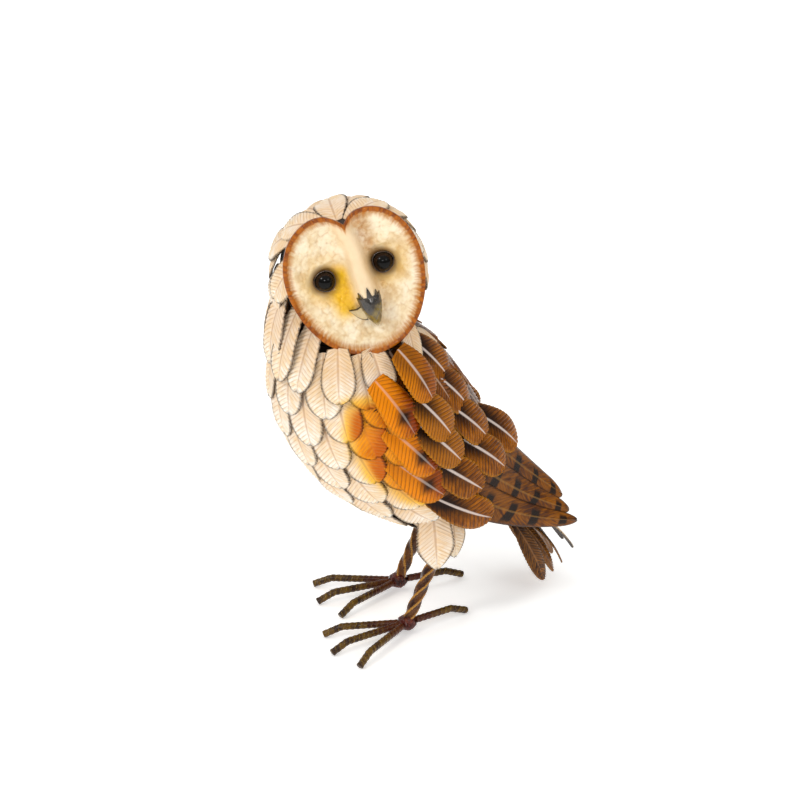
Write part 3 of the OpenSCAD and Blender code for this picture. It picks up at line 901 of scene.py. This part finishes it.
def make_face():
    rings, spokes = 96, 260
    radius = np.linspace(0, 1, rings + 1)[1:]
    angle = np.linspace(-math.pi, math.pi, spokes, endpoint=False)
    radius, angle = (np.append(grid.ravel(), 0) for grid in mesh_grid(radius, angle))
    reach = disc_edge(angle) * radius
    x, y = reach * np.sin(angle), reach * np.cos(angle)
    inset = disc_edge(angle) - reach
    nose = nose_share(x, y)
    eye_gap = np.minimum(*(eye_distance(x, y, side) for side, _ in SIDES))
    scales = scale_pattern(x, y)
    calm = (1 - ramp(nose, 0.05, 0.4)) * ramp(eye_gap, 10, 15) * ramp(inset, 4.5, 8)
    beaten = flat_lumps(x, y, 13, 33)
    height = face_height(x, y) + (1.7 * scales * (0.75 + 0.35 * beaten) + 0.8 * beaten) * calm
    rim = 2.6 * np.sqrt(np.clip(1 - ((inset - 2.1) / 2.6) ** 2, 0, 1))
    height += rim + 0.3 * flat_lumps(x, y, 6, 3) * ramp(inset, 8, 3)
    face = np.stack([x / DISC_R, y / DISC_R, 1 - inset / DISC_R], -1)
    skin = np.stack([scales * calm + (1 - calm), nose, eye_gap], -1)
    mesh = Mesh()
    mesh.add(
        on_face(thick(np.stack([x, y, height], -1), DISC_SHEET)), disc_faces(rings, spokes),
        face=np.concatenate([face] * 2), skin=np.concatenate([skin] * 2),
    )
    mesh.make("face", face_paint(), ["facial_disc"])


def make_eyes():
    """A polished ball in each eye, and a lid ring round it."""
    rings, spokes, lid_spokes, lid_sides = 40, 48, 64, 12
    glass, lid = eye_paint(), lid_paint()
    lids = Mesh()
    for side, name in SIDES:
        polar, around = mesh_grid(np.linspace(0.02, math.pi - 0.02, rings), circle(spokes))
        x, y = np.sin(polar) * np.cos(around), np.sin(polar) * np.sin(around)
        ball = EYE_R * np.stack([x, y, np.cos(polar)], -1).reshape(-1, 3)
        mesh = Mesh()
        mesh.add(
            on_face(ball + [side * EYE_X, EYE_Y, DISC_FLOOR]), tube_faces(rings, spokes),
            gaze=np.stack([polar.ravel() / (math.pi / 2)] * 3, -1),
        )
        mesh.make(f"eyeball_{name}", glass, [f"eye_{name}"])
        around, tube = mesh_grid(circle(lid_spokes), circle(lid_sides))
        reach = (EYE_R + 0.1 + 0.7 * np.cos(tube)) * (1 + 0.04 * np.sin(3 * around + side))
        x = reach * np.cos(around) + side * EYE_X
        y = reach * np.sin(around) * 0.98 + EYE_Y
        z = DISC_FLOOR + 1.4 + 1.2 * np.sin(tube)
        points = np.stack([x, y, z], -1).reshape(-1, 3)
        lids.add(on_face(points), ring_faces(lid_spokes, lid_sides))
    lids.make("eyelids", lid, ["eye_cups"])


# Middle, height, half width and lean of each point of the beak's black collar
COLLAR_POINTS = ((-4.6, 9.5, 3.0, -2.0), (0.2, 12.5, 2.8, 0.3), (4.6, 8.5, 2.7, 1.6))
COLLAR_SHEET, FLAP_SHEET = 2.2, 1.2


def make_beak():
    """A hooked cone with a jagged black collar, and a small flap on its right side."""
    rings, sides, rows, collar_columns, flap_columns = 36, 28, 14, 7, 9
    mesh = Mesh()
    t, a = mesh_grid(np.linspace(0, 1, rings), circle(sides))
    wide = 8.2 * (1 - t**1.7) ** 0.8 + 0.5
    deep = 7.6 * (1 - t**2.0) ** 0.75 + 0.6
    front = 40.5 + 3.2 * np.sin(t * 2.6) - 2.2 * t**3
    ridge = 1 + 0.16 * bell(a - math.pi / 2, 0.35)
    x = NOSE_LEAN + wide * np.cos(a)
    y = NOSE_END + 3 - 24.5 * t
    z = front + deep * np.sin(a) * ridge
    points = np.stack([x, y, z], -1).reshape(-1, 3)
    points += (lumps(points, 5, 11) * 0.22)[:, None] * [0.5, 0, 1]
    black = np.clip(1.25 - 2.1 * t + 0.25 * np.cos(3 * a), 0, 1)
    mesh.add(on_face(points), tube_faces(rings, sides), beak=two_values(t, black))
    v, w = mesh_grid(np.linspace(0, 1, rows), np.linspace(-1, 1, collar_columns))
    for middle, tall, half, lean in COLLAR_POINTS:
        x = NOSE_LEAN + middle + lean * v + half * (1 - v) ** 0.8 * w * 1.05 + 0.15 * w
        y = NOSE_END - 2.5 + tall * v
        z = face_height(x, y) + 0.9 - 0.5 * np.abs(w) * (1 - v) + 0.7 * v
        points = on_face(thick(np.stack([x, y, z], -1), COLLAR_SHEET))
        mesh.add(points, sheet_faces(rows, collar_columns), beak=[0, 1, 0])
    v, w = mesh_grid(np.linspace(0, 1, rows), np.linspace(-1, 1, flap_columns))
    x = NOSE_LEAN - 5.5 - 11.0 * v**0.9
    y = NOSE_END - 8.5 + 3.0 * v + (6.2 * (1 - v) ** 0.75) * w - 1.5 * np.sin(v * 3)
    z = 44.5 - 7.0 * v - 1.6 * w**2 + 0.8 * np.sin(v * 5)
    black = np.clip(2.2 * np.abs(w) - 1.35 + 0.9 * v**3, 0, 1)
    pale = two_values(np.full(v.shape, 1.2), black)
    points = on_face(thick(np.stack([x, y, z], -1), FLAP_SHEET))
    mesh.add(points, sheet_faces(rows, flap_columns), beak=np.concatenate([pale] * 2))
    mesh.make("beak_hook", beak_paint(), ["beak"])


make_face()
make_eyes()
make_beak()


# ---- legs, welds and toes ----

RIB_PITCH = 4.2
leg_bronze = rod_paint("leg_enamel", "2E1306", "5E3408", "C88E38", 0.75, 0.2)
toe_bronze = rod_paint("toe_enamel", "2C1605", "5E4208", "9A7A1C", 0.7, 0.22, "4A1406")
weld_bronze = rod_paint("weld_enamel", "2A0A04", "54180C", "8A4020", 0.35, 0.24)


def add_rod(mesh, path, half, high):
    """A bar along a path. half and high are functions of distance and angle: radius and the share
    of gold on the high lines, a painted highlight on the legs.
    """
    sides, reference = 24, [0.31, 0.2, 0.93]
    tangent = unit(np.gradient(path, axis=0))
    first = unit(np.cross(tangent, reference))
    second = np.cross(tangent, first)
    run = np.concatenate([[0], np.cumsum(np.linalg.norm(np.diff(path, axis=0), axis=1))])
    d, a = mesh_grid(run, circle(sides))
    r = half(d, a)
    offset = (r * np.cos(a))[..., None] * first[:, None]
    offset += (r * np.sin(a))[..., None] * second[:, None]
    points = (path[:, None] + offset).reshape(-1, 3)
    points[:, 2] = np.maximum(points[:, 2], 0)
    mesh.add(points, tube_faces(len(path), sides), rod=two_values(high(d, a), d))


def make_leg(side, name):
    """A square bar, twisted opposite ways on the two sides."""
    into_ankle, steps = 4, 90
    points, triangles = solids(f"leg_{name}")[0]
    centre, (along, *_rest) = main_axes(triangles)
    along = along * np.sign(along[2])
    run = (points - centre) @ along
    path = centre + np.linspace(run.min() - into_ankle, run.max(), steps)[:, None] * along

    def corner(d, a):
        """1 on the bar's corners and 0 in the middle of its faces."""
        return np.abs(np.cos(2 * (a - side * d * 2 * math.pi / LEG_PITCH))) ** 3

    def radius(d, a):
        return LEG_BAR / 2 * (1.0 + 0.3 * corner(d, a))

    mesh = Mesh()
    # corner also sets the gold along the bar's corners, which is a painted highlight
    add_rod(mesh, path, radius, corner)
    mesh.make(f"twisted_leg_{name}", leg_bronze, [f"leg_{name}"])


def rib_wave(d, a):
    return np.cos(2 * math.pi * d / RIB_PITCH + 2 * a)


def ribbed(d, a):
    return TOE_D / 2 * (0.94 + 0.08 * ramp(rib_wave(d, a), -0.4, 0.9))


def ribbed_gold(d, a):
    return ramp(rib_wave(d, a), 0.0, 1.0) * 0.8


def make_welds(centres):
    """Lumpy balls at the ankles."""
    ball = bmesh.new()
    bmesh.ops.create_icosphere(ball, subdivisions=4, radius=1.0)
    rays = np.array([v.co for v in ball.verts])
    corners = [[v.index for v in f.verts] for f in ball.faces]
    ball.free()
    r = ANKLE_D / 2 * (1 + 0.1 * lumps(rays, 1.1, 21) + 0.05 * lumps(rays, 0.4, 22))
    r *= 1 - 0.12 * np.abs(rays[:, 2])
    wear = np.clip(0.5 + 0.6 * lumps(rays, 0.5, 22), 0, 1)
    mesh = Mesh()
    for centre in centres:
        mesh.add(centre + rays * r[:, None], corners, rod=two_values(wear, wear))
    mesh.make("welds", weld_bronze, ["ankle_welds"])


def make_toe(node, ankle, length, inside):
    """A ribbed toe that ends in a bent claw. inside: points of its path within the ankle."""
    steps, soften = 130, 7
    points = solids(node)[0][0]
    far = points[np.argmax(np.hypot(*(points - ankle)[:, :2].T))] - ankle
    way = unit([far[0], far[1], 0])
    middle = np.array([points[:, 0].mean(), points[:, 1].mean(), 0]) - ankle * [1, 1, 0]
    sideways = np.array([-way[1], way[0], 0])
    way = unit(way + sideways * (middle @ sideways) / max(middle @ way, 1))
    drop = TOE_RISE - TOE_D / 2 + CLAW_FLAT
    dip = math.asin(drop / CLAW_LENGTH)
    bend = ankle + way * length
    claw = bend + way * CLAW_LENGTH * math.cos(dip) - np.array([0, 0, drop])
    run = np.linspace(0, 1, steps)
    corner = length / (length + CLAW_LENGTH)
    path = np.where(
        (run < corner)[:, None],
        ankle + (bend - ankle) * (run / corner)[:, None],
        bend + (claw - bend) * ((run - corner) / (1 - corner))[:, None],
    )
    padded = np.pad(path, ((soften // 2, soften // 2), (0, 0)), mode="edge")
    kernel = np.ones(soften) / soften
    smooth = np.stack([np.convolve(column, kernel, "valid") for column in padded.T], -1)
    smooth[0], smooth[-1] = path[0], path[-1]
    mesh = Mesh()
    add_rod(mesh, smooth[inside:], ribbed, ribbed_gold)
    mesh.make(f"rod_{node}", toe_bronze, [node])


for side, name in SIDES:
    make_leg(side, name)

ankles = {}
for points, _ in solids("ankle_welds"):
    centre = (points.max(0) + points.min(0)) / 2
    ankles["left" if centre[0] > 0 else "right"] = centre
make_welds(ankles.values())

for name, ankle in ankles.items():
    for toe, length in TOE_LENGTH.items():
        make_toe(f"toe_{toe}_{name}", ankle, length, 18 if toe == "back" else 14)


# ---- camera, light and floor ----

# The photo's view: the azimuth is from the owl's front to its left, and the shifts place the
# middle of the picture. Lengths are in metres here.
AZIMUTH, ELEVATION, DISTANCE = math.radians(63), math.radians(26), 2.5
SHIFT_RIGHT, SHIFT_UP = -0.0019, 0.1617
LENS, SENSOR = 146, 36
FLOOR_HALF, FLOOR_DROP = 6, 0.0004

scene = bpy.context.scene
toward = Vector((
    math.sin(AZIMUTH) * math.cos(ELEVATION),
    -math.cos(AZIMUTH) * math.cos(ELEVATION),
    math.sin(ELEVATION),
))
right = Vector((math.cos(AZIMUTH), math.sin(AZIMUTH), 0))
up = toward.cross(right)
target = Vector((0, STANCE_Y * MM, 0)) + right * SHIFT_RIGHT + up * SHIFT_UP
camera = bpy.data.objects.new("camera", bpy.data.cameras.new("camera"))
camera.data.lens, camera.data.sensor_width = LENS, SENSOR
camera.location = target + toward * DISTANCE
camera.rotation_euler = toward.to_track_quat("Z", "Y").to_euler()
scene.collection.objects.link(camera)
scene.camera = camera

# The sky gets brighter upwards
world = bpy.data.worlds.new("studio")
world.use_nodes = True
sky = world.node_tree
back_light = sky.nodes["Background"]
back_light.inputs["Color"].default_value = (1.0, 0.99, 0.97, 1)
heights = sky.nodes.new("ShaderNodeSeparateXYZ")
sky.links.new(sky.nodes.new("ShaderNodeTexCoord").outputs["Generated"], heights.inputs[0])
glow = sky.nodes.new("ShaderNodeMapRange")
for key, value in (("From Min", -0.1), ("From Max", 0.9), ("To Min", 0.2), ("To Max", 0.95)):
    glow.inputs[key].default_value = value
sky.links.new(heights.outputs["Z"], glow.inputs["Value"])
sky.links.new(glow.outputs[0], back_light.inputs["Strength"])
scene.world = world


def lamp(name, place, size, power, aim=(0, 0, 0.18)):
    data = bpy.data.lights.new(name, "AREA")
    data.size, data.energy = size, power
    obj = bpy.data.objects.new(name, data)
    obj.location = place
    obj.rotation_euler = (Vector(place) - Vector(aim)).to_track_quat("Z", "Y").to_euler()
    scene.collection.objects.link(obj)


lamp("key", (0.45, -1.7, 1.7), 0.4, 11)
lamp("eye_light", (2.0, -1.06, 1.36), 0.3, 8, (0, -0.06, 0.3))
lamp("fill", (1.7, 0.5, 1.3), 0.5, 3)
lamp("back_left", (-1.2, -0.6, 1.0), 0.8, 2)
lamp("back_right", (-0.6, 1.5, 1.2), 0.9, 2)

floor_mesh = bpy.data.meshes.new("floor")
floor_corners = [
    (x * FLOOR_HALF, y * FLOOR_HALF, -FLOOR_DROP) for x, y in ((-1, -1), (1, -1), (1, 1), (-1, 1))
]
floor_mesh.from_pydata(floor_corners, [], [(0, 1, 2, 3)])
white = Paint("floor_white", 0.9, Emission_Color=(1, 1, 1, 1), Emission_Strength=0.3)
shade = white.step(white.grain(2.0), 0.3, 0.7)
floor_mesh.materials.append(white.finish(white.mix(shade, "FCFCFB", "FFFFFF")))
floor = bpy.data.objects.new("floor", floor_mesh)
scene.collection.objects.link(floor)

scene.view_settings.view_transform = "Standard"
